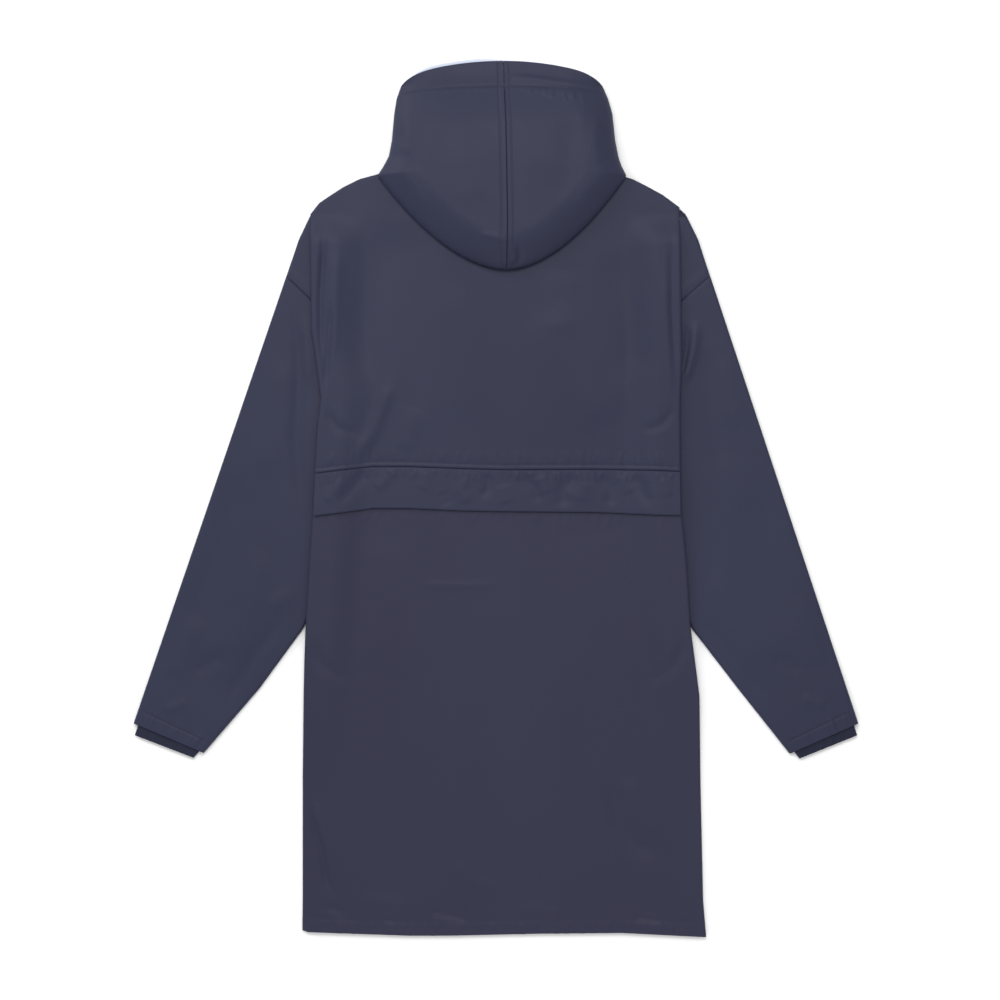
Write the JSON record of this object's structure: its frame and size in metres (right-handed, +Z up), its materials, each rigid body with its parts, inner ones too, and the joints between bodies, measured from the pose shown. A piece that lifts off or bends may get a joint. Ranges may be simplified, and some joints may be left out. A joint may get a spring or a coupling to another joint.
{
  "type": "parka laid flat with its back up",
  "caption": "Hooded navy rain parka laid flat on its front, with drop shoulders, a waist storm band, a straight skirt and hemmed sleeves over inner storm cuffs.",
  "frame": {"origin": "on the surface it lies on, under the middle of the garment's outline", "axes": "+Z up from the surface, +Y from hem to hood, +X towards the wearer's right"},
  "size_m": [0.941, 1.1382, 0.0377],
  "materials": {
    "shell": "navy coated woven nylon with a soft satin sheen",
    "cuff": "dark navy elasticated cloth, matt",
    "facing": "pale blue-grey jersey, matt"
  },
  "bodies": {
    "root": {"back_upper": "shell", "back_waist_band": "shell", "back_skirt": "shell", "front_placket": "shell", "front_left": "shell", "sleeve_left": "shell", "storm_cuff_left": "cuff", "hood_left": "shell", "front_right": "shell", "sleeve_right": "shell", "storm_cuff_right": "cuff", "hood_right": "shell", "hood_lining": "facing", "hood_inside": "shell"}
  },
  "joints": []
}
